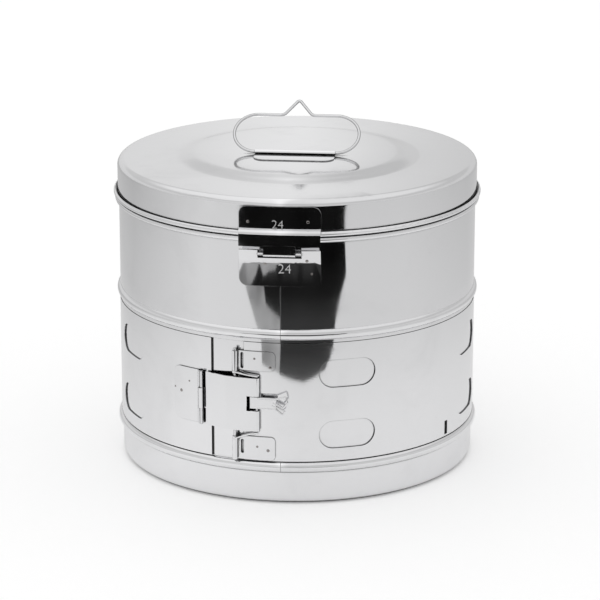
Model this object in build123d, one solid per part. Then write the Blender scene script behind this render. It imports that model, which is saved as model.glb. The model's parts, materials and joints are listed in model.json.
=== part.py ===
from build123d import *
import math
import os

# Sterilization drum with a hinged lid and a turning shutter band, all in bright steel sheet and wire.
# Frame: millimetres, +Z up, origin at the centre of the bottom face, lid hinge and clamp towards -Y.
# Angles about the drum's axis are in degrees from -Y and grow towards +X.

os.makedirs("parts", exist_ok=True)

# Sheet and wire stock
BODY_SHEET = 0.6
PAN_SHEET = 0.6
LID_SHEET = 0.6
BAND_SHEET = 0.6
LEAF_SHEET = 0.7
CLAMP_SHEET = 0.8
PIN_CLEARANCE = 0.05
SEAT_GAP = 0.3
END_GAP = 0.3
CURL_TURN = 285.0
CURL_LAP = 25.0
FULL_TURN = 360.0
QUARTER_TURN = 90.0

# Directions in a section, in degrees from local X
OUT = 0.0
UP = 90.0
IN = 180.0
DOWN = -90.0

# Drum wall, from the pan up
WALL_RADIUS = 120.0
BAND_STEP = 0.6
PAN_INSET = 0.6
PAN_HEIGHT = 21.9
PAN_CORNER = 5.0
FOOT_RING_WIDTH = 9.0
FOOT_RING_SLOPE = 4.0
FLOOR_BEAD_WIDTH = 17.0
FLOOR_BEAD_RISE = 1.5
LOW_BEAD_HEIGHT = 7.2
LOW_BEAD_DEPTH = 3.0
BAND_HEIGHT = 80.3
BAND_EDGE_GAP = 0.4
MID_LEDGE = 2.0
MID_BEAD_HEIGHT = 7.0
MID_BEAD_DEPTH = 2.0
UPPER_WALL_HEIGHT = 58.1
STOP_BEAD_HEIGHT = 3.7
STOP_BEAD_DEPTH = 2.6
NECK_HEIGHT = 11.0
NECK_GAP = 1.1

# Steam holes, in pairs one above the other
HOLE_COLUMNS = 6
HOLE_PITCH = 55.6
HOLE_START = 21.1
HOLE_LENGTH = 38.0
HOLE_HEIGHT = 19.0
HIGH_HOLE_BELOW_EDGE = 20.9
LOW_HOLE_BELOW_EDGE = 62.4

# Shutter band
BAND_RUNNING_GAP = 0.3
BAND_LEFT_END = -22.3
BAND_RIGHT_END = -11.3
SHUTTER_TRAVEL = 27.8
TAB_ANGLE = 61.6
TAB_HEIGHT = 5.0
TAB_ABOVE_EDGE = 1.2
TAB_REACH = 0.8
TAB_WINDOW_WIDTH = 3.4
TAB_WINDOW_HEIGHT = 9.4

# Lid
LID_STEP = 0.8
LID_HEIGHT = 23.9
LID_EDGE_RADIUS = 4.6
RIM_WIRE_RADIUS = 1.05
RIM_CURL_TURN = 255.0
ANNULUS_RISE = 0.7
SHOULDER_OUTER = 83.0
SHOULDER_INNER = 66.0
SHOULDER_RISE = 2.4
CROWN_RISE = 0.6
CROWN_RADIUS = 34.0

# Lid hinge
HINGE_WIDTH = 52.4
HINGE_CORNER = 5.0
HINGE_PIN_RADIUS = 1.0
LID_BEND_RADIUS = 2.4
LEAF_BEND_RADIUS = 240.0
HINGE_PIN_DROP = 7.0
FLAP_DROP = 2.0
LID_LEAF_HEIGHT = 15.5
LID_KNUCKLE_WIDTH = 20.4
SIDE_KNUCKLE_WIDTH = 3.6
BODY_LEAF_DROP = 22.0
WING_HEIGHT = 10.0
WING_TOP_BELOW_FLAP = 2.6
WING_FLARE = 2.6

# Handle
HANDLE_WIRE_RADIUS = 1.0
HANDLE_FORWARD = 15.3
HANDLE_LEAN = 50.0
HANDLE_WIDTH = 83.8
HANDLE_LENGTH = 31.0
HANDLE_PEAK_LENGTH = 12.9
HANDLE_PEAK_WIDTH = 19.0
CLIP_SHEET = 0.7
CLIP_LENGTH = 53.6
CLIP_FOOT_REACH = 16.0
CLIP_FOOT_LENGTH = 38.0

# Clamp
CLAMP_HINGE_ANGLE = -25.2
CLAMP_HINGE_RISE = 2.7
CLAMP_PIN_RADIUS = 1.0
FIXED_LEAF_END = -36.2
FIXED_CURL_END = -70.0
LEVER_HEIGHT = 36.0
LEVER_CENTRE_Z = 69.1
LEVER_CORNER = 2.5
LEVER_STANDOFF = 4.0
LEVER_KNUCKLE_HEIGHT = 13.8
LEVER_SIDE_GAP = 1.2
LEVER_RAMP = 18.0
LEVER_CURL_END = -325.0
TONGUE_PIN_ANGLE = -6.9
TONGUE_PIN_RADIUS = 0.8
TONGUE_HEIGHT = 7.6
TONGUE_CENTRE_Z = 70.6
TONGUE_HEEL = 4.2
TONGUE_LENGTH = 13.0
WINDOW_LEFT_GAP = 2.4
WINDOW_BELOW_GAP = 2.0
WINDOW_ABOVE_GAP = 0.4
TAIL_WIRE_RADIUS = 0.65
TAIL_BEND = 1.0
HIGH_TAIL = [(19.4, 5.6), (20.6, 1.2), (17.4, -2.6), (11.0, 0.9)]
LOW_TAIL = [(17.6, -7.0), (19.0, -4.2), (10.5, -1.0)]

# Keepers
ROD_ANGLE = -13.9
ROD_RADIUS = 1.0
ROD_RISE = 2.3
KEEPER_END = -1.5
KEEPER_CORNER = 3.0
KEEPER_SLOT_WIDTH = 2.1
KEEPER_CURL_TURN = 250.0
HIGH_LEAF_Z = (91.2, 104.1)
HIGH_CURL_Z = (89.4, 104.3)
HIGH_HORN_Z = (90.3, 87.9)
HIGH_SLOT_Z = (92.2, 103.2)
LOW_LEAF_Z = (30.4, 46.2)
LOW_CURL_Z = (30.4, 45.0)
LOW_HORN_Z = (44.6, 50.3)
LOW_SLOT_Z = (34.3, 44.0)
HORN_END = -6.4
HORN_SAG = 0.15
HORN_RISE = 2.0
ROD_OVERHANG = 1.6
CLAW_GAP = 0.5
CLAW_FOOT = 4.5
CLAW_REACH = 3.0
CLAW_HEIGHT = 13.0

# Lid catch on the far side
CATCH_WIRE_RADIUS = 1.0
CATCH_BEYOND_CURL = 0.8
CATCH_PIVOT_DROP = 11.5
CATCH_WIDTH = 30.0
CATCH_FOOT_DROP = 8.6
CATCH_CORNER = 2.5
BRACKET_WIDTH = 24.0
BRACKET_HEIGHT = 15.0
BRACKET_CORNER = 3.0
LUG_WIDTH = 18.0
LUG_HEIGHT = 11.0
LUG_REACH = 5.5
LUG_ABOVE_CURL = 0.4
LUG_PLAY = 0.6

# Heights of the wall's features
low_bead_bottom = PAN_HEIGHT + SEAT_GAP
low_bead_top = low_bead_bottom + LOW_BEAD_HEIGHT
band_bottom = low_bead_top + BAND_EDGE_GAP
band_top = band_bottom + BAND_HEIGHT
ledge = band_top + SEAT_GAP
mid_bead_bottom = ledge + MID_LEDGE
mid_bead_top = mid_bead_bottom + MID_BEAD_HEIGHT
stop_bead_bottom = mid_bead_top + UPPER_WALL_HEIGHT
stop_bead_top = stop_bead_bottom + STOP_BEAD_HEIGHT
neck_top = stop_bead_top + NECK_HEIGHT
lid_bottom = stop_bead_top + SEAT_GAP
lid_top = lid_bottom + LID_HEIGHT
panel_top = lid_top + ANNULUS_RISE + SHOULDER_RISE
crown_top = panel_top + CROWN_RISE

# Radii that follow from them
pan_radius = WALL_RADIUS - PAN_INSET
lid_radius = WALL_RADIUS + LID_STEP
low_wall_radius = WALL_RADIUS - BAND_STEP
band_inner = low_wall_radius + BAND_RUNNING_GAP
band_outer = band_inner + BAND_SHEET
neck_radius = lid_radius - LID_SHEET - NECK_GAP
curl_radius = RIM_WIRE_RADIUS + LID_SHEET
curl_centre = (lid_radius + RIM_WIRE_RADIUS, lid_bottom + curl_radius)
hole_rows = (band_top - LOW_HOLE_BELOW_EDGE, band_top - HIGH_HOLE_BELOW_EDGE)
hole_angles = [HOLE_START + i * HOLE_PITCH for i in range(HOLE_COLUMNS)]

FAR = 2 * WALL_RADIUS


def polar(radius, angle):
    """Point of a plan view whose +Y looks outward at angle 0."""
    turn = math.radians(angle)
    return (radius * math.sin(turn), radius * math.cos(turn))


def tangent_of(angle):
    turn = math.radians(angle)
    return (math.cos(turn), math.sin(turn), 0)


def outward_of(angle):
    turn = math.radians(angle)
    return (math.sin(turn), -math.cos(turn), 0)


def plan_plane(angle, top):
    """Plan view at an angle: local X to the right, local Y outward, material grows down from top."""
    return Plane(origin=(0, 0, top), x_dir=tangent_of(angle), z_dir=(0, 0, -1))


def front_plane(angle):
    """Front view at an angle: local X to the right, local Y up, local Z outward."""
    return Plane(origin=(0, 0, 0), x_dir=tangent_of(angle), z_dir=outward_of(angle))


def side_plane(x):
    """Section across X: local X is -Y (outward at the front), local Y is up, local Z is -X."""
    return Plane(origin=(x, 0, 0), x_dir=(0, -1, 0), z_dir=(-1, 0, 0))


def sheet_face(path, thickness, side, corners=Kind.ARC):
    """Closed section of a bent sheet, from the line of one of its faces."""
    return make_face(offset(Wire(path), amount=thickness, side=side, kind=corners).edges())


def spun(face, start=0.0, end=FULL_TURN):
    """Revolve a section drawn in X (radius) and Z about the axis, from one angle to another."""
    return Rot(0, 0, start - QUARTER_TURN) * revolve(Plane.XZ * face, Axis.Z, end - start)


def spun_path(points):
    """Lines through points given as (radius, height)."""
    return [Line(a, b) for a, b in zip(points, points[1:])]


def tube(inner, outer, bottom, top, start=0.0, end=FULL_TURN):
    """Part of a round wall."""
    section = Pos((inner + outer) / 2, (bottom + top) / 2) * Rectangle(outer - inner, top - bottom)
    return spun(section, start, end)


def outline_block(sketch, angle):
    """An outline drawn in the front view, carried straight outward from the axis."""
    return extrude(front_plane(angle) * sketch, amount=FAR)


def rounded_plate(width, bottom, top, radius, low_corners, high_corners):
    """Front outline of a plate with some of its corners rounded."""
    plate = Pos(0, (bottom + top) / 2) * Rectangle(width, top - bottom)
    corners = plate.vertices().sort_by(Axis.Y)
    chosen = (corners[:2] if low_corners else []) + (corners[2:] if high_corners else [])
    return fillet(chosen, radius) if chosen else plate


def spin_arc(centre, radius, start, end):
    """Arc about a centre, angles in degrees from local X, walked from start to end."""
    points = []
    for share in (0.0, 0.5, 1.0):
        turn = math.radians(start + share * (end - start))
        points.append((centre[0] + radius * math.cos(turn), centre[1] + radius * math.sin(turn)))
    return ThreePointArc(*points)


def curl_face(centre, bore, thickness, start, end):
    """Section of a sheet rolled about a centre, from one angle to another."""
    inner = spin_arc(centre, bore, start, end)
    outer = spin_arc(centre, bore + thickness, end, start)
    return make_face([inner, Line(inner @ 1, outer @ 0), outer, Line(outer @ 1, inner @ 0)])


def touch_angle(centre, radius, point):
    """Where a straight run from a point meets a circle that lies on its right."""
    away = math.hypot(point[0] - centre[0], point[1] - centre[1])
    bearing = math.degrees(math.atan2(point[1] - centre[1], point[0] - centre[0]))
    return bearing - math.degrees(math.acos(radius / away))


def rolled_end(point, centre, bore, thickness, end):
    """Straight run of sheet from a point that rolls clockwise round a pin, from the line of its bore."""
    touch = touch_angle(centre, bore, point)
    run = Line(point, spin_arc(centre, bore, touch - CURL_LAP, touch) @ 1)
    roll = curl_face(centre, bore, thickness, touch + CURL_LAP, end)
    return sheet_face([run], thickness, Side.LEFT) + roll


def strip_face(start, end, thickness, side):
    """Section of a straight run of sheet, from the line of one of its faces."""
    return sheet_face([Line(start, end)], thickness, side)


def ring_arc(radius, start, end, reference):
    """Arc round the drum's axis in the plan view at a reference angle."""
    middle = (start + end) / 2
    return ThreePointArc(*[polar(radius, a - reference) for a in (start, middle, end)])


def slab(angle, x_range, z_range):
    """Block in the front view between two distances to the right and two heights."""
    width = x_range[1] - x_range[0]
    height = z_range[1] - z_range[0]
    centre = Pos(sum(x_range) / 2, sum(z_range) / 2)
    return outline_block(centre * Rectangle(width, height), angle)


def rod(start, end, radius):
    """Round pin between two points with slightly eased ends."""
    line = Line(start, end)
    body = sweep(Plane(origin=start, z_dir=line % 0) * Circle(radius), line)
    return chamfer(body.edges().filter_by(GeomType.CIRCLE), radius / 5)


def wire_loop(points, radii, wire_radius, plane):
    """Closed wire bent through the points in a plane."""
    path = plane * FilletPolyline(*points, radius=radii, close=True)
    return sweep(Plane(origin=path @ 0, z_dir=path % 0) * Circle(wire_radius), path)


def steam_holes(shift):
    """Cutters for both rows of stadium-shaped holes."""
    outline = Sketch() + [Pos(0, z) * SlotOverall(HOLE_LENGTH, HOLE_HEIGHT) for z in hole_rows]
    return [outline_block(outline, angle + shift) for angle in hole_angles]


# Stop tab of the band and the slot in the wall that it runs in
tab_half = math.degrees(BAND_SHEET / band_inner) / 2
tab_bottom = band_bottom + TAB_ABOVE_EDGE
tab_top = tab_bottom + TAB_HEIGHT
tab_inner = low_wall_radius - BODY_SHEET - TAB_REACH


def tab_slot():
    slack = math.degrees(END_GAP / low_wall_radius)
    start = TAB_ANGLE - tab_half - slack
    end = TAB_ANGLE + tab_half + SHUTTER_TRAVEL + slack
    return tube(tab_inner, band_inner, tab_bottom - END_GAP, tab_top + END_GAP, start, end)


def make_body_shell():
    foot_radius = pan_radius - PAN_SHEET
    bead_radius = STOP_BEAD_HEIGHT / 2
    bead_centre = (WALL_RADIUS + STOP_BEAD_DEPTH - bead_radius, stop_bead_bottom + bead_radius)
    low_middle = (low_bead_bottom + low_bead_top) / 2
    mid_middle = (mid_bead_bottom + mid_bead_top) / 2
    path = spun_path([
        (foot_radius, PAN_CORNER),
        (foot_radius, PAN_HEIGHT),
        (low_wall_radius, low_bead_bottom),
    ])
    path.append(ThreePointArc(
        (low_wall_radius, low_bead_bottom),
        (low_wall_radius + LOW_BEAD_DEPTH, low_middle),
        (low_wall_radius, low_bead_top),
    ))
    path += spun_path([
        (low_wall_radius, low_bead_top),
        (low_wall_radius, band_top),
        (WALL_RADIUS, ledge),
        (WALL_RADIUS, mid_bead_bottom),
    ])
    path.append(ThreePointArc(
        (WALL_RADIUS, mid_bead_bottom),
        (WALL_RADIUS + MID_BEAD_DEPTH, mid_middle),
        (WALL_RADIUS, mid_bead_top),
    ))
    path += spun_path([
        (WALL_RADIUS, mid_bead_top),
        (WALL_RADIUS, stop_bead_bottom),
        (bead_centre[0], stop_bead_bottom),
    ])
    path.append(spin_arc(bead_centre, bead_radius, DOWN, UP))
    path += spun_path([(bead_centre[0], stop_bead_top), (neck_radius, stop_bead_top), (neck_radius, neck_top)])
    shell = spun(sheet_face(path, BODY_SHEET, Side.LEFT, Kind.INTERSECTION))
    return shell - steam_holes(SHUTTER_TRAVEL) - tab_slot()


def make_base_pan():
    flat_outer = pan_radius - PAN_CORNER
    ring_inner = flat_outer - FOOT_RING_WIDTH
    bead_inner = ring_inner - FLOOR_BEAD_WIDTH
    path = spun_path([
        (0, 0),
        (bead_inner, 0),
        (bead_inner + FOOT_RING_SLOPE, FLOOR_BEAD_RISE),
        (ring_inner - FOOT_RING_SLOPE, FLOOR_BEAD_RISE),
        (ring_inner, 0),
        (flat_outer, 0),
    ])
    path.append(spin_arc((flat_outer, PAN_CORNER), PAN_CORNER, DOWN, OUT))
    path += spun_path([(pan_radius, PAN_CORNER), (pan_radius, PAN_HEIGHT)])
    return spun(sheet_face(path, PAN_SHEET, Side.LEFT, Kind.INTERSECTION))


def make_lid_cap():
    flat_edge = lid_radius - LID_EDGE_RADIUS
    shoulder_foot = lid_top + ANNULUS_RISE
    annulus = Line((flat_edge, lid_top), (SHOULDER_OUTER, shoulder_foot))
    middle = ((SHOULDER_INNER + SHOULDER_OUTER) / 2, (shoulder_foot + panel_top) / 2)
    foot_arc = TangentArc(annulus @ 1, middle, tangent=annulus % 1)
    brow_arc = TangentArc(middle, (SHOULDER_INNER, panel_top), tangent=foot_arc % 1)
    crown_arc = TangentArc((CROWN_RADIUS, crown_top), (SHOULDER_INNER, panel_top), tangent=(1, 0))
    path = [
        spin_arc(curl_centre, RIM_WIRE_RADIUS, IN + RIM_CURL_TURN, IN),
        Line((lid_radius, curl_centre[1]), (lid_radius, lid_top - LID_EDGE_RADIUS)),
        spin_arc((flat_edge, lid_top - LID_EDGE_RADIUS), LID_EDGE_RADIUS, OUT, UP),
        annulus,
        foot_arc,
        brow_arc,
        crown_arc,
        Line((CROWN_RADIUS, crown_top), (0, crown_top)),
    ]
    return spun(sheet_face(path, LID_SHEET, Side.LEFT))


def make_lid_rim_wire():
    return spun(Pos(*curl_centre) * Circle(RIM_WIRE_RADIUS - PIN_CLEARANCE))


# Lid hinge: the pin lies along X in front of the wall, under the stop bead
hinge_bore = HINGE_PIN_RADIUS + PIN_CLEARANCE
flap_inner = curl_centre[0] + LID_BEND_RADIUS
hinge_y = flap_inner - hinge_bore
hinge_z = stop_bead_bottom - HINGE_PIN_DROP
flap_bottom = stop_bead_bottom - FLAP_DROP
knuckle_half = LID_KNUCKLE_WIDTH / 2
knuckle_outer = hinge_bore + LEAF_SHEET


def hinge_plate(face, wall, outline):
    """Section bent to the leaves' own flatter curve, which meets a wall of that radius at the middle."""
    shift = LEAF_BEND_RADIUS - wall
    half_angle = math.degrees(math.asin(HINGE_WIDTH / 2 / LEAF_BEND_RADIUS))
    plate = Pos(0, shift, 0) * spun(Pos(shift, 0) * face, -half_angle, half_angle)
    return plate & outline_block(outline, 0)


def make_lid_hinge_leaf():
    bend_top = curl_centre[1] + LID_BEND_RADIUS
    leaf_top = bend_top + LID_LEAF_HEIGHT
    path = spun_path([
        (lid_radius, leaf_top),
        (lid_radius, bend_top + LEAF_SHEET),
        (curl_centre[0], bend_top),
    ])
    path.append(spin_arc(curl_centre, LID_BEND_RADIUS, UP, OUT))
    path.append(Line((flap_inner, curl_centre[1]), (flap_inner, flap_bottom)))
    outline = rounded_plate(HINGE_WIDTH, flap_bottom, leaf_top, HINGE_CORNER, False, True)
    leaf = hinge_plate(sheet_face(path, LEAF_SHEET, Side.LEFT), lid_radius, outline)
    roll = strip_face((flap_inner, flap_bottom + LEAF_SHEET), (flap_inner, hinge_z), LEAF_SHEET, Side.LEFT)
    roll = roll + curl_face((hinge_y, hinge_z), hinge_bore, LEAF_SHEET, OUT, -CURL_TURN)
    tongue = extrude(side_plane(knuckle_half) * roll, LID_KNUCKLE_WIDTH)
    return leaf + tongue


def make_body_hinge_leaf():
    leaf_bottom = hinge_z - BODY_LEAF_DROP
    wing_top = flap_bottom - WING_TOP_BELOW_FLAP
    wing_bottom = wing_top - WING_HEIGHT
    path = spun_path([
        (WALL_RADIUS, leaf_bottom),
        (WALL_RADIUS, wing_bottom),
        (WALL_RADIUS + WING_FLARE, wing_top),
    ])
    outline = rounded_plate(HINGE_WIDTH, leaf_bottom, wing_top + LEAF_SHEET, HINGE_CORNER, True, False)
    leaf = hinge_plate(sheet_face(path, LEAF_SHEET, Side.RIGHT), WALL_RADIUS, outline)
    inner_edge = knuckle_half + END_GAP
    outer_edge = inner_edge + SIDE_KNUCKLE_WIDTH
    notch_bottom = hinge_z - knuckle_outer - 2 * LEAF_SHEET
    leaf = leaf - slab(0, (-outer_edge, outer_edge), (notch_bottom, wing_top + LEAF_SHEET))
    neck_bottom = notch_bottom - LEAF_SHEET
    face_at_neck = WALL_RADIUS + LEAF_SHEET / 2
    section = rolled_end((face_at_neck, neck_bottom), (hinge_y, hinge_z), hinge_bore, LEAF_SHEET, DOWN)
    for right_end in (outer_edge, -inner_edge):
        leaf = leaf + extrude(side_plane(right_end) * section, SIDE_KNUCKLE_WIDTH)
    return leaf


def make_lid_hinge_pin():
    reach = knuckle_half + END_GAP + SIDE_KNUCKLE_WIDTH
    return rod((-reach, -hinge_y, hinge_z), (reach, -hinge_y, hinge_z), HINGE_PIN_RADIUS)


# Handle: a bail in a clip that is rolled round its straight side
clip_bore = HANDLE_WIRE_RADIUS + PIN_CLEARANCE
clip_outer = clip_bore + CLIP_SHEET
handle_z = crown_top + clip_outer


def make_handle_clip():
    foot_top = handle_z - clip_bore
    foot_end = (HANDLE_FORWARD + clip_bore + CLIP_FOOT_REACH, foot_top)
    section = strip_face(foot_end, (HANDLE_FORWARD, foot_top), CLIP_SHEET, Side.LEFT)
    section = section + curl_face((HANDLE_FORWARD, handle_z), clip_bore, CLIP_SHEET, DOWN, OUT - FULL_TURN)
    clip = extrude(side_plane(CLIP_LENGTH / 2) * section, CLIP_LENGTH)
    corner = (CLIP_LENGTH - CLIP_FOOT_LENGTH) / 2
    reach = HANDLE_FORWARD + clip_bore + CLIP_FOOT_REACH
    plan = Pos(0, -reach / 2) * Rectangle(CLIP_LENGTH, reach)
    plan = fillet(plan.vertices().sort_by(Axis.Y)[:2], corner)
    return clip & extrude(Pos(0, 0, panel_top - FAR / 2) * plan, FAR)


def make_handle_bail():
    half = HANDLE_WIDTH / 2
    foot = HANDLE_PEAK_WIDTH / 2
    end_radius = HANDLE_LENGTH / 2 - PIN_CLEARANCE
    tip_radius = 3 * HANDLE_WIRE_RADIUS / 2
    foot_radius = 4 * HANDLE_WIRE_RADIUS
    points = [
        (-half, 0), (half, 0), (half, HANDLE_LENGTH), (foot, HANDLE_LENGTH),
        (0, HANDLE_LENGTH + HANDLE_PEAK_LENGTH), (-foot, HANDLE_LENGTH), (-half, HANDLE_LENGTH),
    ]
    radii = [end_radius, end_radius, end_radius, foot_radius, tip_radius, foot_radius, end_radius]
    lean = math.radians(HANDLE_LEAN)
    normal = (0, -math.cos(lean), math.sin(lean))
    plane = Plane(origin=(0, -HANDLE_FORWARD, handle_z), x_dir=(1, 0, 0), z_dir=normal)
    return wire_loop(points, radii, HANDLE_WIRE_RADIUS, plane)


def make_shutter_band():
    band = tube(band_inner, band_outer, band_bottom, band_top, BAND_RIGHT_END, BAND_LEFT_END + FULL_TURN)
    window_right = polar(band_outer, -tab_half)[0]
    window = (window_right - TAB_WINDOW_WIDTH, window_right)
    window_z = (tab_bottom, tab_bottom + TAB_WINDOW_HEIGHT)
    band = band - steam_holes(0) - slab(TAB_ANGLE, window, window_z)
    tab = tube(tab_inner, band_outer, tab_bottom, tab_top, TAB_ANGLE - tab_half, TAB_ANGLE + tab_half)
    return band + tab


# Clamp: a lever hinged on the band's left end, over a rod that both keepers hold at its right end
clamp_hinge_radius = band_outer + CLAMP_HINGE_RISE
clamp_bore = CLAMP_PIN_RADIUS + PIN_CLEARANCE
clamp_roll = clamp_bore + CLAMP_SHEET
lever_bottom = LEVER_CENTRE_Z - LEVER_HEIGHT / 2
lever_top = LEVER_CENTRE_Z + LEVER_HEIGHT / 2
knuckle_z = (LEVER_CENTRE_Z - LEVER_KNUCKLE_HEIGHT / 2, LEVER_CENTRE_Z + LEVER_KNUCKLE_HEIGHT / 2)
lever_inner = band_outer + LEVER_STANDOFF
tongue_bore = TONGUE_PIN_RADIUS + PIN_CLEARANCE
tongue_pin_radius_at = lever_inner - tongue_bore
tongue_z = (TONGUE_CENTRE_Z - TONGUE_HEIGHT / 2, TONGUE_CENTRE_Z + TONGUE_HEIGHT / 2)


def make_clamp_fixed_leaf():
    a = CLAMP_HINGE_ANGLE
    rise_start = math.degrees(2 * clamp_roll / band_outer)
    section = sheet_face([ring_arc(band_outer, FIXED_LEAF_END, a - rise_start, a)], CLAMP_SHEET, Side.LEFT)
    root = polar(band_outer, -rise_start)
    section = section + rolled_end(root, (0, clamp_hinge_radius), clamp_bore, CLAMP_SHEET, FIXED_CURL_END)
    leaf = extrude(plan_plane(a, lever_top) * section, LEVER_HEIGHT)
    reach = band_outer * math.radians(a - FIXED_LEAF_END)
    outline = Pos(0, LEVER_CENTRE_Z) * Rectangle(2 * reach, LEVER_HEIGHT)
    outline = fillet(outline.vertices(), 2 * LEVER_CORNER)
    gap = (knuckle_z[0] - END_GAP, knuckle_z[1] + END_GAP)
    leaf = leaf & outline_block(outline, a)
    return leaf - slab(a, (-clamp_roll - END_GAP, FAR), gap)


def make_clamp_lever():
    a = CLAMP_HINGE_ANGLE
    lever_outer = lever_inner + CLAMP_SHEET
    ramp = math.degrees(LEVER_RAMP / lever_outer)
    pin_turn = TONGUE_PIN_ANGLE - a
    foot = polar(lever_outer, ramp)
    plate = sheet_face([ring_arc(lever_outer, a + ramp, TONGUE_PIN_ANGLE, a)], CLAMP_SHEET, Side.RIGHT)
    plate = plate + rolled_end(foot, (0, clamp_hinge_radius), clamp_bore, CLAMP_SHEET, LEVER_CURL_END)
    ring = Pos(*polar(tongue_pin_radius_at, pin_turn)) * Circle(tongue_bore + CLAMP_SHEET)
    bore = Pos(*polar(tongue_pin_radius_at, pin_turn)) * Circle(tongue_bore)
    section = plate + ring - bore
    lever = extrude(plan_plane(a, lever_top) * section, LEVER_HEIGHT)
    for ends in ((lever_bottom, knuckle_z[0]), (knuckle_z[1], lever_top)):
        lever = lever - slab(a, (-FAR, clamp_roll + LEVER_SIDE_GAP), ends)
    window_left = -TONGUE_HEEL - WINDOW_LEFT_GAP
    window_z = (tongue_z[0] - WINDOW_BELOW_GAP, tongue_z[1] + WINDOW_ABOVE_GAP)
    return lever - slab(TONGUE_PIN_ANGLE, (window_left, FAR), window_z)


def vertical_pin(radius_at, angle, bottom, top, radius):
    x, y = outward_of(angle)[0] * radius_at, outward_of(angle)[1] * radius_at
    return rod((x, y, bottom), (x, y, top), radius)


def make_clamp_hinge_pin():
    return vertical_pin(clamp_hinge_radius, CLAMP_HINGE_ANGLE, lever_bottom, lever_top, CLAMP_PIN_RADIUS)


def make_clamp_claw():
    """Angle on the lever's inside that hooks behind the rod."""
    left = ROD_RADIUS + CLAW_GAP
    left_turn = math.degrees(left / lever_inner)
    right_turn = math.degrees((left + CLAW_FOOT) / lever_inner)
    foot = ring_arc(lever_inner, ROD_ANGLE + right_turn, ROD_ANGLE + left_turn, ROD_ANGLE)
    corner = foot @ 1
    leg = Line(corner, (corner.X, corner.Y - CLAW_REACH))
    section = sheet_face([foot, leg], CLAMP_SHEET, Side.LEFT)
    return extrude(plan_plane(ROD_ANGLE, LEVER_CENTRE_Z + CLAW_HEIGHT / 2) * section, CLAW_HEIGHT)


def make_tongue_pin():
    return vertical_pin(tongue_pin_radius_at, TONGUE_PIN_ANGLE, lever_bottom, lever_top, TONGUE_PIN_RADIUS)


def open_wire(points, radii, wire_radius, plane):
    """Wire bent through the points in a plane, with free ends."""
    path = plane * FilletPolyline(*points, radius=radii)
    return sweep(Plane(origin=path @ 0, z_dir=path % 0) * Circle(wire_radius), path)


def make_clamp_tongue():
    """Small second lever: a strip on the pin, with edges of wire that end in a fish tail."""
    a = TONGUE_PIN_ANGLE
    face = tongue_pin_radius_at + tongue_bore
    strip = Pos((TONGUE_LENGTH - TONGUE_HEEL) / 2, face + CLAMP_SHEET / 2)
    strip = strip * Rectangle(TONGUE_LENGTH + TONGUE_HEEL, CLAMP_SHEET)
    ring = Pos(0, tongue_pin_radius_at) * Circle(tongue_bore + CLAMP_SHEET)
    bore = Pos(0, tongue_pin_radius_at) * Circle(tongue_bore)
    section = strip + ring - bore
    tongue = extrude(plan_plane(a, tongue_z[1]) * section, TONGUE_HEIGHT)
    tail_plane = front_plane(a).offset(face + CLAMP_SHEET / 2)
    edge = TONGUE_HEIGHT / 2 - TAIL_WIRE_RADIUS
    bend = TONGUE_LENGTH - TAIL_WIRE_RADIUS
    for side, tail in ((1, HIGH_TAIL), (-1, LOW_TAIL)):
        points = [(tongue_bore, side * edge), (bend, side * edge)]
        points += tail
        points = [(x, TONGUE_CENTRE_Z + z) for x, z in points]
        radii = [TAIL_BEND] * (len(points) - 2)
        tongue = tongue + open_wire(points, radii, TAIL_WIRE_RADIUS, tail_plane)
    return tongue


rod_radius_at = band_outer + ROD_RISE
rod_bore = ROD_RADIUS + PIN_CLEARANCE


def make_keeper(leaf_z, curl_z, horn, slot_z):
    """Plate on the band's right end, rolled round the rod, with a horn beside the lever's edge."""
    a = ROD_ANGLE
    rise = math.degrees(2 * rod_bore / band_outer)
    leaf_outer = band_outer + CLAMP_SHEET
    section = sheet_face([ring_arc(leaf_outer, KEEPER_END, a + rise / 2, a)], CLAMP_SHEET, Side.LEFT)
    root = polar(leaf_outer, rise)
    section = section + rolled_end(root, (0, rod_radius_at), rod_bore, CLAMP_SHEET, DOWN - KEEPER_CURL_TURN)
    low = min(leaf_z[0], curl_z[0])
    high = max(leaf_z[1], curl_z[1])
    keeper = extrude(plan_plane(a, high) * section, high - low)
    reach = band_outer * math.radians(KEEPER_END - a)
    leaf = Pos(0, sum(leaf_z) / 2) * Rectangle(2 * reach, leaf_z[1] - leaf_z[0])
    leaf = fillet(leaf.vertices(), KEEPER_CORNER)
    curl_reach = rod_bore + CLAMP_SHEET
    curl = Pos(0, sum(curl_z) / 2) * Rectangle(2 * curl_reach, curl_z[1] - curl_z[0])
    keeper = keeper & outline_block(leaf + curl, a)
    slot_x = band_outer * math.radians(BAND_RIGHT_END - a) - KEEPER_SLOT_WIDTH / 2
    slot_height = slot_z[1] - slot_z[0]
    slot = Pos(slot_x, sum(slot_z) / 2) * Rot(0, 0, QUARTER_TURN) * SlotOverall(slot_height, KEEPER_SLOT_WIDTH)
    keeper = keeper - outline_block(slot, a)
    root = (-rod_bore, horn[0])
    tip = (band_outer * math.radians(HORN_END - a), horn[1])
    middle = (tip[0] / 2, (horn[0] + horn[1]) / 2 + HORN_SAG * (horn[1] - horn[0]))
    horn_path = ThreePointArc(root, middle, tip)
    side = Side.LEFT if horn[0] > horn[1] else Side.RIGHT
    horn_block = outline_block(sheet_face([horn_path], CLAMP_SHEET, side), a)
    horn_inner = rod_radius_at - rod_bore - CLAMP_SHEET / 2
    horn_range = (low - LEVER_HEIGHT, high + LEVER_HEIGHT)
    horn_start = a - math.degrees(rod_bore / band_outer)
    horn_wall = tube(horn_inner, rod_radius_at + HORN_RISE, *horn_range, horn_start, HORN_END)
    return keeper + ((horn_block & horn_wall) - vertical_pin(rod_radius_at, a, *horn_range, rod_bore))


def make_keeper_upper():
    return make_keeper(HIGH_LEAF_Z, HIGH_CURL_Z, HIGH_HORN_Z, HIGH_SLOT_Z)


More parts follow.
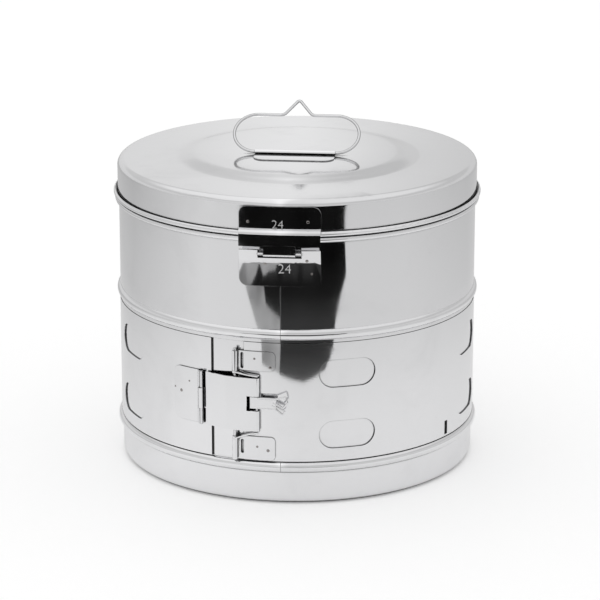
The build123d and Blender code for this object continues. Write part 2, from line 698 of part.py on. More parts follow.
def make_keeper_lower():
    return make_keeper(LOW_LEAF_Z, LOW_CURL_Z, LOW_HORN_Z, LOW_SLOT_Z)


def make_keeper_rod():
    bottom = LOW_CURL_Z[0]
    return vertical_pin(rod_radius_at, ROD_ANGLE, bottom, HIGH_CURL_Z[1] + ROD_OVERHANG, ROD_RADIUS)


# Lid catch: a wire bail on the wall that swings up over a lug on the lid, drawn at the front
catch_y = curl_centre[0] + curl_radius + CATCH_BEYOND_CURL
catch_z = stop_bead_bottom - CATCH_PIVOT_DROP
catch_bore = CATCH_WIRE_RADIUS + PIN_CLEARANCE
lug_bottom = curl_centre[1] + curl_radius + LUG_ABOVE_CURL
catch_length = lug_bottom + LEAF_SHEET + LUG_PLAY + CATCH_WIRE_RADIUS - catch_z
TO_BACK = Rot(0, 0, FULL_TURN / 2)


def make_catch_bracket():
    foot_top = catch_z - CATCH_FOOT_DROP
    foot_bottom = catch_z - BRACKET_HEIGHT
    turn = math.degrees(BRACKET_WIDTH / 2 / WALL_RADIUS)
    foot = tube(WALL_RADIUS, WALL_RADIUS + LEAF_SHEET, foot_bottom, foot_top, -turn, turn)
    outline = rounded_plate(BRACKET_WIDTH, foot_bottom, foot_top, BRACKET_CORNER, True, False)
    foot = foot & outline_block(outline, 0)
    root = (WALL_RADIUS + LEAF_SHEET, foot_top - LEAF_SHEET)
    section = rolled_end(root, (catch_y, catch_z), catch_bore, LEAF_SHEET, DOWN)
    roll = extrude(side_plane(BRACKET_WIDTH / 2) * section, BRACKET_WIDTH)
    return TO_BACK * (foot + roll)


def make_catch_bail():
    half = CATCH_WIDTH / 2
    points = [(-half, 0), (half, 0), (half, -catch_length), (-half, -catch_length)]
    plane = Plane(origin=(0, catch_y, catch_z), x_dir=(1, 0, 0), z_dir=(0, -1, 0))
    return wire_loop(points, [CATCH_CORNER] * 4, CATCH_WIRE_RADIUS, plane)


def make_catch_lug():
    path = spun_path([
        (lid_radius, lug_bottom + LUG_HEIGHT),
        (lid_radius, lug_bottom),
        (lid_radius + LUG_REACH, lug_bottom),
    ])
    turn = math.degrees(LUG_WIDTH / 2 / lid_radius)
    lug = spun(sheet_face(path, LEAF_SHEET, Side.LEFT), -turn, turn)
    outline = rounded_plate(LUG_WIDTH, lug_bottom, lug_bottom + LUG_HEIGHT, BRACKET_CORNER, False, True)
    return TO_BACK * (lug & outline_block(outline, 0))


PARTS = {
    "body_shell": make_body_shell,
    "base_pan": make_base_pan,
    "lid_cap": make_lid_cap,
    "lid_rim_wire": make_lid_rim_wire,
    "lid_hinge_leaf": make_lid_hinge_leaf,
    "body_hinge_leaf": make_body_hinge_leaf,
    "lid_hinge_pin": make_lid_hinge_pin,
    "handle_clip": make_handle_clip,
    "handle_bail": make_handle_bail,
    "shutter_band": make_shutter_band,
    "clamp_fixed_leaf": make_clamp_fixed_leaf,
    "clamp_hinge_pin": make_clamp_hinge_pin,
    "clamp_lever": make_clamp_lever,
    "clamp_claw": make_clamp_claw,
    "tongue_pin": make_tongue_pin,
    "clamp_tongue": make_clamp_tongue,
    "keeper_upper": make_keeper_upper,
    "keeper_lower": make_keeper_lower,
    "keeper_rod": make_keeper_rod,
    "catch_bracket": make_catch_bracket,
    "catch_bail": make_catch_bail,
    "catch_lug": make_catch_lug,
}

for name, make in PARTS.items():
    part = make()
    print(name, len(part.solids()), round(part.volume, 2), part.is_valid)
    export_step(part, f"parts/{name}.step")
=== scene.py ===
import json
import math

import bmesh
import bpy
import numpy as np
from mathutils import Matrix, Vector
from mathutils.bvhtree import BVHTree


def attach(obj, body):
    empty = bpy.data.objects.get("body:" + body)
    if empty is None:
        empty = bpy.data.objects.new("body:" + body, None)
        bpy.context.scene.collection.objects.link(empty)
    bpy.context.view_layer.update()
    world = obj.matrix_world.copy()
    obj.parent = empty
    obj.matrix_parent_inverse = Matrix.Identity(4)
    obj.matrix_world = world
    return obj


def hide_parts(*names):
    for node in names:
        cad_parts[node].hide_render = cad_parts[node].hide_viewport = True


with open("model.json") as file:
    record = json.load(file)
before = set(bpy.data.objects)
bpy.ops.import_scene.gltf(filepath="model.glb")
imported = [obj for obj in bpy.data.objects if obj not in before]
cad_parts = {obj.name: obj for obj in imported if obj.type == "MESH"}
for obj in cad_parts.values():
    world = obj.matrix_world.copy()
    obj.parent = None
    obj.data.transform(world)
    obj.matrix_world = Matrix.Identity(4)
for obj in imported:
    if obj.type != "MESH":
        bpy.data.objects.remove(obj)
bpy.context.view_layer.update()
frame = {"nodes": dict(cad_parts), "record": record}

# ---------------------------------------------------------------- sizes in metres

WALL_RADIUS = 0.120
MERGE_DISTANCE = 2e-6
BUMP_DISTANCE = 0.0002

VIEW_DISTANCE = 1.99835
VIEW_ELEVATION = math.radians(16.58)
VIEW_AZIMUTH = math.radians(5.3)
VIEW_HEIGHT = 0.10365
VIEW_LENS = 175.83  # millimetres, on a sensor of 36
VIEW_SENSOR = 36.0
VIEW_SHIFT = 0.00465


def round_wall(angle, radius, height):
    """Point on a round wall, with the angle in degrees from -Y towards +X."""
    turn = math.radians(angle)
    return Vector((radius * math.sin(turn), -radius * math.cos(turn), height))


# ---------------------------------------------------------------- node helpers

def new_tree(material):
    material.use_nodes = True
    tree = material.node_tree
    tree.nodes.clear()
    return tree


def put(tree, kind, links=None, **values):
    """Add a node, set its properties, and fill its inputs from values or other sockets."""
    node = tree.nodes.new(kind)
    for name, value in values.items():
        setattr(node, name, value)
    for name, source in (links or {}).items():
        socket = node.inputs[name]
        if isinstance(source, bpy.types.NodeSocket):
            tree.links.new(source, socket)
        else:
            socket.default_value = source
    return node


def calc(tree, operation, first, second, third=None):
    """Result of a math node, on values or sockets."""
    links = {0: first, 1: second}
    if third is not None:
        links[2] = third
    return put(tree, "ShaderNodeMath", links, operation=operation).outputs[0]


def plus(tree, first, second):
    return calc(tree, "ADD", first, second)


def minus(tree, first, second):
    return calc(tree, "SUBTRACT", first, second)


def times(tree, first, second):
    return calc(tree, "MULTIPLY", first, second)


def object_place(tree):
    return put(tree, "ShaderNodeTexCoord").outputs["Object"]


def split_xyz(tree, vector):
    return put(tree, "ShaderNodeSeparateXYZ", {0: vector}).outputs


def length_of(tree, vector):
    return put(tree, "ShaderNodeVectorMath", {0: vector}, operation="LENGTH").outputs["Value"]


def turn_from_front(tree, split):
    """Angle about Z in radians, from -Y towards +X."""
    return calc(tree, "ARCTAN2", split["X"], times(tree, split["Y"], -1.0))


def noise(tree, place, scale, detail, roughness=0.5, distortion=0.0):
    return put(tree, "ShaderNodeTexNoise", {
        "Vector": place, "Scale": scale, "Detail": detail, "Roughness": roughness, "Distortion": distortion,
    }).outputs["Fac"]


def ramp(tree, factor, stops):
    """Colour ramp from a list of (position, grey)."""
    node = put(tree, "ShaderNodeValToRGB", {"Fac": factor})
    points = node.color_ramp.elements
    while len(points) < len(stops):
        points.new(0.5)
    for point, (place, shade) in zip(points, stops):
        point.position = place
        point.color = (shade, shade, shade, 1)
    return node.outputs["Color"]


def group(name, inputs, outputs):
    """Shader node group with plain number inputs; gives the tree, its start sockets and its end sockets."""
    tree = bpy.data.node_groups.new(name, "ShaderNodeTree")
    for label, value in inputs:
        socket = tree.interface.new_socket(name=label, in_out="INPUT", socket_type="NodeSocketFloat")
        socket.default_value = value
    for label in outputs:
        tree.interface.new_socket(name=label, in_out="OUTPUT", socket_type="NodeSocketFloat")
    start = tree.nodes.new("NodeGroupInput")
    end = tree.nodes.new("NodeGroupOutput")
    return tree, start.outputs, end.inputs


# ---------------------------------------------------------------- shared finishes

def make_polish_group():
    """Fine rolling lines, faint dents, wiping smears and finger marks of polished sheet."""
    tree, given, result = group(
        "sheet_polish",
        [("Line Scale", 900.0), ("Line Strength", 0.3), ("Smear", 0.5), ("Waviness", 0.5), ("Stretch", 30.0)],
        ["Roughness", "Tint", "Height"],
    )
    place = object_place(tree)
    split = split_xyz(tree, place)
    along = calc(tree, "ARCTAN2", split["X"], split["Y"])
    lines_place = put(tree, "ShaderNodeCombineXYZ", {
        "X": times(tree, along, given["Stretch"]),
        "Y": times(tree, split["Z"], given["Line Scale"]),
        "Z": 0.0,
    }).outputs[0]
    lines = noise(tree, lines_place, 1.0, 5.0, 0.65)
    smears = noise(tree, place, 19.0, 6.0, 0.62, 0.8)
    prints = noise(tree, place, 75.0, 3.0, 0.55)
    waves = noise(tree, place, 14.0, 1.5, 0.4)
    worst = calc(tree, "SMOOTH_MAX", minus(tree, smears, 0.52), 0.0, 0.05)
    patches = times(tree, worst, plus(tree, prints, 0.4))
    line_part = times(tree, minus(tree, lines, 0.5), given["Line Strength"])
    rough = plus(tree, times(tree, patches, given["Smear"]), times(tree, line_part, 0.10))
    tint = plus(tree, times(tree, patches, -0.25), times(tree, line_part, 0.06))
    height = plus(tree, times(tree, line_part, 0.02), times(tree, waves, given["Waviness"]))
    tree.links.new(rough, result["Roughness"])
    tree.links.new(tint, result["Tint"])
    tree.links.new(height, result["Height"])
    return tree


def make_wear_group():
    """Mask of edges and corners, where the metal is rubbed."""
    tree, given, result = group("edge_wear", [("Width", 0.0006), ("Breakup", 260.0)], ["Mask"])
    bevel = put(tree, "ShaderNodeBevel", {"Radius": given["Width"]}, samples=4).outputs["Normal"]
    plain = put(tree, "ShaderNodeNewGeometry").outputs["Normal"]
    even = put(tree, "ShaderNodeVectorMath", {0: bevel, 1: plain}, operation="DOT_PRODUCT").outputs["Value"]
    breakup = noise(tree, object_place(tree), given["Breakup"], 4.0)
    mask = times(tree, minus(tree, 1.0, even), times(tree, breakup, 6.0))
    mask.node.use_clamp = True
    tree.links.new(mask, result["Mask"])
    return tree


def make_crevice_shade_group():
    """Painted shade: darkening in grooves and under overlapping sheets, found by ambient occlusion."""
    tree, given, result = group(
        "groove_painted_shade", [("Reach", 0.0028), ("Breakup", 420.0), ("Strength", 1.0)], ["Mask"]
    )
    open_sky = put(tree, "ShaderNodeAmbientOcclusion", {"Distance": given["Reach"]}, samples=8).outputs["AO"]
    breakup = noise(tree, object_place(tree), given["Breakup"], 4.0)
    shut_in = minus(tree, 1.0, open_sky)
    spread = put(tree, "ShaderNodeMapRange", {"Value": shut_in, "From Min": 0.16, "From Max": 0.52},
                 interpolation_type="SMOOTHSTEP").outputs["Result"]
    mask = times(tree, spread, plus(tree, times(tree, breakup, 0.5), 0.7))
    mask = times(tree, mask, given["Strength"])
    mask.node.use_clamp = True
    tree.links.new(mask, result["Mask"])
    return tree


POLISH = make_polish_group()
WEAR = make_wear_group()
CREVICE_SHADE = make_crevice_shade_group()

WORN_ROUGHNESS = 0.10
# How much rougher and how much darker the painted crevice shade makes the sheet
CREVICE_SHADE_ROUGHNESS = 0.25
CREVICE_SHADE_DARKNESS = 0.86


def steel(name, colour, roughness, lines, smear, waviness, marks=None, rim=0.0):
    """Bright stainless steel with its own amounts of the shared marks, painted crevice shade and a painted rim
    shade; lines are (scale, stretch, strength).
    """
    material = bpy.data.materials.new(name)
    tree = new_tree(material)
    scale, stretch, strength = lines
    polish = put(tree, "ShaderNodeGroup", node_tree=POLISH)
    amounts = {"Line Scale": scale, "Stretch": stretch, "Line Strength": strength, "Smear": smear,
               "Waviness": waviness}
    for label, value in amounts.items():
        polish.inputs[label].default_value = value
    worn = put(tree, "ShaderNodeGroup", node_tree=WEAR).outputs["Mask"]
    # Ambient-occlusion mask of grooves, used to paint shade into them
    crevice_shade = put(tree, "ShaderNodeGroup", node_tree=CREVICE_SHADE).outputs["Mask"]

    rough = plus(tree, polish.outputs["Roughness"], roughness)
    rough = plus(tree, rough, times(tree, worn, WORN_ROUGHNESS))
    rough = plus(tree, rough, times(tree, crevice_shade, CREVICE_SHADE_ROUGHNESS))
    tint = plus(tree, polish.outputs["Tint"], 1.0)
    # Painted shade: the crevice mask darkens the colour in grooves and under overlapping sheets
    tint = times(tree, tint, minus(tree, 1.0, times(tree, crevice_shade, CREVICE_SHADE_DARKNESS)))
    height = polish.outputs["Height"]
    if rim:
        # Painted shade: the colour darkens toward the rims, where the surface turns away from the view
        facing = put(tree, "ShaderNodeLayerWeight", {"Blend": 0.5}).outputs["Facing"]
        edge = ramp(tree, facing, [(0.0, 0.0), (0.25, 0.0), (0.60, rim), (0.85, rim * 0.4), (1.0, rim)])
        tint = times(tree, tint, minus(tree, 1.0, edge))
    if marks:
        shade, depth = marks(tree)
        tint = times(tree, tint, shade)
        height = plus(tree, height, depth)

    base = put(tree, "ShaderNodeMix", {"Factor": 1.0}, data_type="RGBA", blend_type="MULTIPLY")
    base.inputs["A"].default_value = (*colour, 1)
    tree.links.new(tint, base.inputs["B"])
    bump = put(tree, "ShaderNodeBump", {"Strength": 1.0, "Distance": BUMP_DISTANCE, "Height": height})
    shader = put(tree, "ShaderNodeBsdfPrincipled", {
        "Base Color": base.outputs["Result"],
        "Metallic": 1.0,
        "Roughness": rough,
        "Normal": bump.outputs["Normal"],
    })
    put(tree, "ShaderNodeOutputMaterial", {"Surface": shader.outputs[0]})
    return material


# ---------------------------------------------------------------- marks and painted shadow on the drum's wall

# The welded joint down the front: where it runs, half its width, how dark and how deep it is
SEAM_X = 0.0004
SEAM_HALF_WIDTH = 0.00022
SEAM_WANDER = 0.0004
SEAM_DARKNESS = 0.45
SEAM_DEPTH = -0.25

# Painted shadow where the shut band's end and its tab's window lie on the wall: the middle and half the width
# in radians from -Y towards +X, then the bottom and the top in metres
BAND_END_SHADOW = (-0.3826, 0.0058, 0.0299, 0.1100)
TAB_WINDOW_SHADOW = (1.0590, 0.0130, 0.0312, 0.0403)
PATCH_WANDER = 0.0012
SHADOW_PATCH_DARKNESS = 0.93


def painted_shadow_patch(tree, around, height, patch):
    """Mask of a painted shadow patch on the wall, from its angle and height."""
    middle, half, bottom, top = patch
    beside = calc(tree, "COMPARE", around, middle, half)
    level = calc(tree, "COMPARE", height, (bottom + top) / 2, (top - bottom) / 2)
    return times(tree, beside, level)


def seam_and_painted_shadow(tree):
    """Shade and depth of the welded joint down the front, and the painted shadow beside the shut band and its
    tab's window.
    """
    place = object_place(tree)
    split = split_xyz(tree, place)
    wander = noise(tree, place, 60.0, 2.0)
    across = plus(tree, split["X"], times(tree, minus(tree, wander, 0.5), SEAM_WANDER))
    line = calc(tree, "COMPARE", across, SEAM_X, SEAM_HALF_WIDTH)
    seam = times(tree, line, calc(tree, "LESS_THAN", split["Y"], 0.0))
    around = plus(tree, turn_from_front(tree, split), times(tree, wander, PATCH_WANDER))
    patches = [painted_shadow_patch(tree, around, split["Z"], patch) for patch in (BAND_END_SHADOW, TAB_WINDOW_SHADOW)]
    # Painted shadow: dark patches on the wall by the shut band's end and by its tab's window
    painted_shadow = calc(tree, "MAXIMUM", *patches)
    dark = calc(tree, "MAXIMUM", times(tree, seam, SEAM_DARKNESS), times(tree, painted_shadow, SHADOW_PATCH_DARKNESS))
    return minus(tree, 1.0, dark), times(tree, seam, SEAM_DEPTH)


BRIGHT = (0.86, 0.86, 0.87)
FITTING = (0.84, 0.84, 0.85)
WIRE = (0.80, 0.80, 0.81)
BURNT = (0.34, 0.32, 0.31)
FROSTED = (0.95, 0.95, 0.95)

FINISHES = {
    "body_sheet": steel("body_sheet", BRIGHT, 0.045, (1400.0, 26.0, 0.5), 0.30, 0.55, marks=seam_and_painted_shadow),
    "pan_sheet": steel("pan_sheet", BRIGHT, 0.06, (1400.0, 22.0, 0.6), 0.35, 0.45),
    "lid_sheet": steel("lid_sheet", BRIGHT, 0.075, (1500.0, 18.0, 0.6), 0.35, 0.30),
    "band_sheet": steel("band_sheet", BRIGHT, 0.05, (1300.0, 30.0, 0.6), 0.35, 0.65),
    "fitting_sheet": steel("fitting_sheet", FITTING, 0.05, (1100.0, 40.0, 0.5), 0.45, 0.40),
    # The wire finish carries a painted rim shade
    "steel_wire": steel("steel_wire", WIRE, 0.08, (900.0, 60.0, 0.4), 0.30, 0.10, rim=0.80),
}
WELD = steel("weld_mark", BURNT, 0.22, (700.0, 20.0, 0.9), 0.6, 0.3)
STAMP = steel("stamp_face", FROSTED, 0.48, (700.0, 20.0, 0.6), 0.2, 0.2)


# ---------------------------------------------------------------- smooth copies of the sheet and wire pieces

SLOT_OF = {entry["node"]: entry["material_slot"] for entry in frame["record"]["subparts"]}
BODY_OF = {node: body for body, nodes in frame["record"]["behaviour"]["bodies"].items() for node in nodes}
SPUN = {"body_shell", "base_pan", "lid_cap", "lid_rim_wire", "shutter_band"}

CREASE = 0.80  # cosine between two faces, below which the edge between them stays sharp
LEVEL_TURN = 0.12  # part of a spun face's normal that points round the drum and counts as none
ON_AXIS = 1e-5


def node_object(node):
    return frame["nodes"][node]


def merged_copy(node):
    """Copy of a node's mesh with its loose triangles joined."""
    mesh = node_object(node).data.copy()
    mesh.name = node + "_polished"
    form = bmesh.new()
    form.from_mesh(mesh)
    bmesh.ops.remove_doubles(form, verts=form.verts, dist=MERGE_DISTANCE)
    form.to_mesh(mesh)
    form.free()
    mesh.materials.clear()
    mesh.materials.append(FINISHES[SLOT_OF[node]])
    return mesh


def read_mesh(data, attribute, width, kind=float):
    """Array of one attribute of a mesh's vertices, faces or loops."""
    values = np.empty(len(data) * width, dtype=kind)
    data.foreach_get(attribute, values)
    return values.reshape(-1, width) if width > 1 else values


def sheet_normals(mesh, spun):
    """Split normals weighted by face area, creased at bends; a spun sheet is also made round about Z."""
    points = read_mesh(mesh.vertices, "co", 3)
    flat = read_mesh(mesh.polygons, "normal", 3)
    middle = read_mesh(mesh.polygons, "center", 3)
    area = read_mesh(mesh.polygons, "area", 1)
    sides = read_mesh(mesh.polygons, "loop_total", 1, np.int64)
    corner = read_mesh(mesh.loops, "vertex_index", 1, np.int64)
    owner = np.repeat(np.arange(len(flat)), sides)

    section = flat.copy()
    if spun:
        turn = np.arctan2(middle[:, 1], middle[:, 0])
        section[:, 0] = flat[:, 0] * np.cos(turn) + flat[:, 1] * np.sin(turn)
        section[:, 1] = -flat[:, 0] * np.sin(turn) + flat[:, 1] * np.cos(turn)
        section[np.abs(section[:, 1]) < LEVEL_TURN, 1] = 0
        section /= np.linalg.norm(section, axis=1)[:, None]

    order = np.argsort(corner, kind="stable")
    starts = np.searchsorted(corner[order], np.arange(len(points) + 1))
    result = np.empty((len(corner), 3))
    for vertex in range(len(points)):
        loops = order[starts[vertex]:starts[vertex + 1]]
        own = section[owner[loops]]
        near = (own @ own.T) > CREASE
        result[loops] = (near * area[owner[loops]][None, :]) @ own
    result /= np.maximum(np.linalg.norm(result, axis=1), 1e-12)[:, None]

    if spun:
        reach = np.hypot(points[corner, 0], points[corner, 1])
        on_axis = reach < ON_AXIS
        reach[on_axis] = 1
        cosine, sine = points[corner, 0] / reach, points[corner, 1] / reach
        round_x = result[:, 0] * cosine - result[:, 1] * sine
        round_y = result[:, 0] * sine + result[:, 1] * cosine
        result[:, 0], result[:, 1] = round_x, round_y
        result[on_axis] = flat[owner[on_axis]]
    mesh.polygons.foreach_set("use_smooth", np.ones(len(flat), dtype=bool))
    mesh.normals_split_custom_set(result)


def in_scene(name, data):
    piece = bpy.data.objects.new(name, data)
    bpy.context.scene.collection.objects.link(piece)
    return piece


def dress(node):
    """Smooth, finished piece that stands for a CAD node."""
    mesh = merged_copy(node)
    sheet_normals(mesh, node in SPUN)
    piece = in_scene(node + "_polished", mesh)
    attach(piece, BODY_OF[node])
    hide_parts(node)


for node in frame["nodes"]:
    dress(node)


# ---------------------------------------------------------------- weld marks and stamped numbers

# Angle from -Y towards +X in degrees, and height in metres, of each weld mark on a plate
WELDS = {
    "lid_hinge_leaf": [(-9.6, 0.1909), (8.5, 0.1913)],
    "body_hinge_leaf": [(8.2, 0.1657), (9.7, 0.1570), (-4.4, 0.1632)],
    "clamp_fixed_leaf": [(-30.2, 0.0780), (-35.9, 0.0721), (-33.4, 0.0704)],
    "keeper_upper": [(-7.9, 0.0992), (-3.0, 0.0938)],
    "keeper_lower": [(-7.1, 0.0394), (-3.7, 0.0371)],
}
WELD_SEED = 11

# Plate, digits, angle in degrees, and the height of the middle and of a digit in metres
NUMBERS = [
    ("lid_hinge_leaf", "24", -0.6, 0.1892, 0.0056),
    ("body_hinge_leaf", "24", 1.5, 0.1598, 0.0062),
]
DIGIT_SHARE = 0.70  # height of a digit against the size of its font
STROKE_THINNING = 0.020  # against the height of a digit
STROKE_DEPTH = 0.00003
STROKE_LIFT = 0.00001
STROKE_MERGE = 1e-7


def surface_of(node):
    mesh = node_object(node).data
    return BVHTree.FromPolygons([v.co for v in mesh.vertices], [p.vertices[:] for p in mesh.polygons])


def make_mark_tree():
    """Flattened weld marks set on points, each turned to its plate, with sizes that differ by seed."""
    tree = bpy.data.node_groups.new("weld_marks", "GeometryNodeTree")
    tree.interface.new_socket(name="Points", in_out="INPUT", socket_type="NodeSocketGeometry")
    for label, kind, value in (
        ("Radius", "NodeSocketFloat", 0.0009),
        ("Flatness", "NodeSocketFloat", 0.16),
        ("Smallest", "NodeSocketFloat", 0.75),
        ("Largest", "NodeSocketFloat", 1.25),
        ("Seed", "NodeSocketInt", 7),
    ):
        tree.interface.new_socket(name=label, in_out="INPUT", socket_type=kind).default_value = value
    tree.interface.new_socket(name="Finish", in_out="INPUT", socket_type="NodeSocketMaterial")
    tree.interface.new_socket(name="Marks", in_out="OUTPUT", socket_type="NodeSocketGeometry")

    given = tree.nodes.new("NodeGroupInput").outputs
    ball = put(tree, "GeometryNodeMeshUVSphere",
               {"Radius": given["Radius"], "Segments": 20, "Rings": 10}).outputs["Mesh"]
    squash = put(tree, "ShaderNodeCombineXYZ", {"X": 1.0, "Y": 1.0, "Z": given["Flatness"]}).outputs[0]
    button = put(tree, "GeometryNodeTransform", {"Geometry": ball, "Scale": squash}).outputs["Geometry"]
    facing = put(tree, "GeometryNodeInputNamedAttribute", {"Name": "facing"},
                 data_type="FLOAT_VECTOR").outputs["Attribute"]
    turn = put(tree, "FunctionNodeAlignRotationToVector", {"Vector": facing}, axis="Z").outputs["Rotation"]
    size = put(tree, "FunctionNodeRandomValue",
               {2: given["Smallest"], 3: given["Largest"], "Seed": given["Seed"]}, data_type="FLOAT")
    marks = put(tree, "GeometryNodeInstanceOnPoints", {
        "Points": given["Points"],
        "Instance": button,
        "Rotation": turn,
        "Scale": size.outputs[1],
    }).outputs["Instances"]
    solid = put(tree, "GeometryNodeRealizeInstances", {"Geometry": marks}).outputs["Geometry"]
    done = put(tree, "GeometryNodeSetMaterial", {"Geometry": solid, "Material": given["Finish"]})
    put(tree, "NodeGroupOutput", {"Marks": done.outputs["Geometry"]})
    return tree


def add_piece(name, mesh, body):
    piece = in_scene(name, mesh)
    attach(piece, body)


def evaluated_mesh(source):
    bpy.context.view_layer.update()
    ready = source.evaluated_get(bpy.context.evaluated_depsgraph_get())
    mesh = bpy.data.meshes.new_from_object(ready)
    bpy.data.objects.remove(source)
    return mesh


def add_weld_marks(tree, node, places):
    surface = surface_of(node)
    spots, facing = [], []
    for angle, height in places:
        start = round_wall(angle, 2 * WALL_RADIUS, height)
        inward = Vector((-start.x, -start.y, 0)).normalized()
        hit, normal = surface.ray_cast(start, inward)[:2]
        if hit is not None:
            spots.append(hit)
            facing.extend(normal if normal.dot(inward) < 0 else -normal)
    points = bpy.data.meshes.new(node + "_weld_points")
    points.from_pydata(spots, [], [])
    points.attributes.new("facing", "FLOAT_VECTOR", "POINT").data.foreach_set("vector", facing)
    source = in_scene(node + "_weld_points", points)
    modifier = source.modifiers.new("weld_marks", "NODES")
    modifier.node_group = tree
    sockets = {item.name: item.identifier for item in tree.interface.items_tree}
    modifier[sockets["Seed"]] = WELD_SEED + len(node)
    modifier[sockets["Finish"]] = WELD
    mesh = evaluated_mesh(source)
    mesh.shade_smooth()
    add_piece(node + "_weld_marks", mesh, BODY_OF[node])


def add_number(node, text, angle, height, size):
    """Plain number on a plate: shallow strokes laid on its surface."""
    curve = bpy.data.curves.new(node + "_number", "FONT")
    curve.body = text
    curve.size = size / DIGIT_SHARE
    curve.offset = -size * STROKE_THINNING
    curve.extrude = STROKE_DEPTH
    curve.align_x = "CENTER"
    curve.align_y = "CENTER"
    mesh = evaluated_mesh(in_scene(node + "_number", curve))
    surface = surface_of(node)
    middle = round_wall(angle, WALL_RADIUS, height)
    for vertex in mesh.vertices:
        x, up, out = vertex.co
        start = Vector((middle.x + x, -2 * WALL_RADIUS, height + up))
        hit = surface.ray_cast(start, Vector((0, 1, 0)))[0]
        front = hit.y if hit is not None else middle.y
        vertex.co = (start.x, front - out - STROKE_LIFT, start.z)
    mesh.materials.clear()
    mesh.materials.append(STAMP)
    form = bmesh.new()
    form.from_mesh(mesh)
    bmesh.ops.remove_doubles(form, verts=form.verts, dist=STROKE_MERGE)
    bmesh.ops.recalc_face_normals(form, faces=form.faces)
    form.to_mesh(mesh)
    form.free()
    add_piece(node + "_number", mesh, BODY_OF[node])


mark_tree = make_mark_tree()
for node, places in WELDS.items():
    add_weld_marks(mark_tree, node, places)
for number in NUMBERS:
    add_number(*number)


# ---------------------------------------------------------------- stage, light and camera

# Grey that the polished sheet reflects from the table: by metres from the drum's axis,
# and by the turn about it as a share of a whole turn, where 0.5 is the front
TABLE_BY_REACH = [(0.0, 1.0), (0.15, 1.0), (0.30, 0.94), (0.50, 0.82), (0.80, 0.80), (1.0, 0.78)]
TABLE_BY_TURN = [
    (0.0, 0.80), (0.10, 0.74), (0.18, 0.70), (0.27, 0.84), (0.36, 1.0), (0.44, 0.98),
    (0.52, 0.88), (0.58, 0.90), (0.70, 0.90), (0.78, 0.84), (0.88, 0.76), (1.0, 0.80),
]
TABLE_SEEN = 0.97
TABLE_GLOW = 0.16
TABLE_GLOW_SEEN = 0.11

# Grey that the cloths gain near the drum, by metres from its axis
CLOTH_SHEEN = [(0.38, 0.09), (0.45, 0.035), (0.52, 0.045), (0.60, 0.008), (0.70, 0.0)]

# Outlines of the cloths in metres from the axis, as (to the right, towards the camera)
GREY_CLOTH = [
    (-0.02, 0.385), (-0.135, 0.395), (-0.165, 0.45), (-0.24, 0.50), (-0.32, 0.545), (-0.385, 0.64),
    (-0.50, 0.745), (-0.9, 1.4), (-0.3, 1.4), (-0.02, 0.6),
]
BLACK_CLOTH = [
    (-0.065, 0.385), (0.02, 0.372), (0.105, 0.386), (0.155, 0.43), (0.195, 0.49), (0.25, 0.54),
    (0.31, 0.575), (0.35, 0.66), (0.39, 0.75), (0.46, 0.82), (1.1, 1.9), (-0.8, 1.9), (-0.40, 0.88),
    (-0.33, 0.74), (-0.25, 0.66), (-0.205, 0.59), (-0.175, 0.545), (-0.09, 0.53), (-0.075, 0.46),
]

# Grey of the tent, by how high and by how far to the right a ray points
TENT_BY_HEIGHT = [(0.0, 0.74), (0.15, 0.78), (0.29, 0.78), (0.36, 0.68), (0.55, 0.70), (0.72, 0.95), (1.0, 1.0)]
TENT_ACROSS = [(0.0, 0.80), (0.40, 0.84), (0.43, 0.88), (0.455, 1.0), (0.472, 0.86), (0.49, 0.74), (1.0, 0.78)]
TENT_EXTRA = 0.12


def seen_as(tree, mirrored, seen):
    """One even grey for the camera's own rays and the given one for all others; also the camera's mask."""
    camera = put(tree, "ShaderNodeLightPath").outputs["Is Camera Ray"]
    shade = put(tree, "ShaderNodeMix", {"Factor": camera}, data_type="RGBA")
    tree.links.new(mirrored, shade.inputs["A"])
    shade.inputs["B"].default_value = (seen, seen, seen, 1)
    return shade.outputs["Result"], camera


def table_material():
    """White table, seen as white by the camera; in the polished sheet it falls off outward and to the sides."""
    material = bpy.data.materials.new("table_white")
    tree = new_tree(material)
    place = object_place(tree)
    reach = length_of(tree, place)
    turn = turn_from_front(tree, split_xyz(tree, place))
    turn = plus(tree, calc(tree, "DIVIDE", turn, 2 * math.pi), 0.5)
    near = ramp(tree, reach, TABLE_BY_REACH)
    side = ramp(tree, turn, TABLE_BY_TURN)
    depth = put(tree, "ShaderNodeMapRange", {
        "Value": reach, "From Min": 0.2, "From Max": 0.9, "To Min": 0.55, "To Max": 1.15,
    }).outputs["Result"]
    side = minus(tree, 1.0, times(tree, minus(tree, 1.0, side), depth))
    shade, camera = seen_as(tree, times(tree, near, side), TABLE_SEEN)
    diffuse = put(tree, "ShaderNodeBsdfDiffuse", {"Color": shade})
    strength = plus(tree, times(tree, camera, TABLE_GLOW_SEEN), TABLE_GLOW)
    glow = put(tree, "ShaderNodeEmission", {"Color": shade, "Strength": strength})
    both = put(tree, "ShaderNodeAddShader", {0: diffuse.outputs[0], 1: glow.outputs[0]})
    put(tree, "ShaderNodeOutputMaterial", {"Surface": both.outputs[0]})
    return material


def cloth_material(name, shade):
    """Dark cloth on the table in front of the drum, seen only in the polished sheet."""
    material = bpy.data.materials.new(name)
    tree = new_tree(material)
    glossy = put(tree, "ShaderNodeLightPath").outputs["Is Glossy Ray"]
    clear = put(tree, "ShaderNodeBsdfTransparent")
    place = object_place(tree)
    folds = ramp(tree, noise(tree, place, 7.0, 2.0), [(0.3, shade * 0.6), (0.7, shade * 1.4)])
    tone = plus(tree, folds, ramp(tree, length_of(tree, place), CLOTH_SHEEN))
    dark = put(tree, "ShaderNodeBsdfDiffuse", {"Color": tone})
    mix = put(tree, "ShaderNodeMixShader", {0: glossy, 1: clear.outputs[0], 2: dark.outputs[0]})
    put(tree, "ShaderNodeOutputMaterial", {"Surface": mix.outputs[0]})
    return material


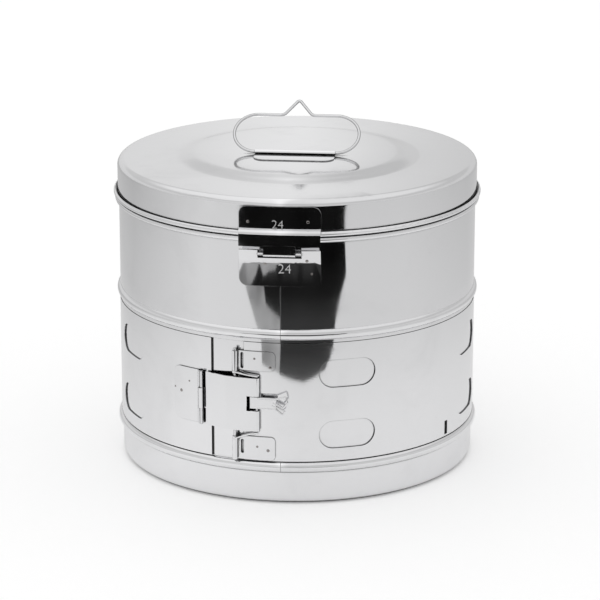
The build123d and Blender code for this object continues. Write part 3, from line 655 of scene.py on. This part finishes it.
def flat_piece(name, outline, height, material):
    mesh = bpy.data.meshes.new(name)
    mesh.from_pydata([(x, y, height) for x, y in outline], [], [range(len(outline))])
    mesh.materials.append(material)
    in_scene(name, mesh)


def facing_camera(outline):
    """Points given as (to the right, towards the camera) put into the frame."""
    cosine, sine = math.cos(VIEW_AZIMUTH), math.sin(VIEW_AZIMUTH)
    return [(x * cosine + y * sine, x * sine - y * cosine) for x, y in outline]


# The cloths lie on the table, the black one over the grey one
flat_piece("table", [(-12, -12), (12, -12), (12, 12), (-12, 12)], 0.0, table_material())
flat_piece("grey_cloth", facing_camera(GREY_CLOTH), 0.0004, cloth_material("grey_cloth", 0.40))
flat_piece("black_cloth", facing_camera(BLACK_CLOTH), 0.0008, cloth_material("black_cloth", 0.006))


def make_world():
    """White tent: pale walls with a greyer belt above the horizon and a bright roof."""
    world = bpy.data.worlds.new("tent")
    bpy.context.scene.world = world
    tree = new_tree(world)
    look = split_xyz(tree, put(tree, "ShaderNodeTexCoord").outputs["Generated"])
    across = plus(tree, times(tree, look["X"], 0.5), 0.5)
    level = times(tree, ramp(tree, look["Z"], TENT_BY_HEIGHT), ramp(tree, across, TENT_ACROSS))
    shade, camera = seen_as(tree, level, 1.0)
    power = plus(tree, times(tree, minus(tree, 1.0, camera), TENT_EXTRA), 1.0)
    back = put(tree, "ShaderNodeBackground", {"Color": shade, "Strength": power})
    put(tree, "ShaderNodeOutputWorld", {"Surface": back.outputs[0]})


def make_camera():
    data = bpy.data.cameras.new("camera")
    data.lens = VIEW_LENS
    data.sensor_width = VIEW_SENSOR
    data.shift_x = VIEW_SHIFT
    data.clip_end = 100.0
    camera = in_scene("camera", data)
    flat = VIEW_DISTANCE * math.cos(VIEW_ELEVATION)
    aim = Vector((0, 0, VIEW_HEIGHT))
    camera.location = aim + Vector((
        flat * math.sin(VIEW_AZIMUTH),
        -flat * math.cos(VIEW_AZIMUTH),
        VIEW_DISTANCE * math.sin(VIEW_ELEVATION),
    ))
    camera.rotation_euler = (aim - camera.location).to_track_quat("-Z", "Y").to_euler()
    bpy.context.scene.camera = camera


make_world()
make_camera()
bpy.context.scene.view_settings.view_transform = "Standard"
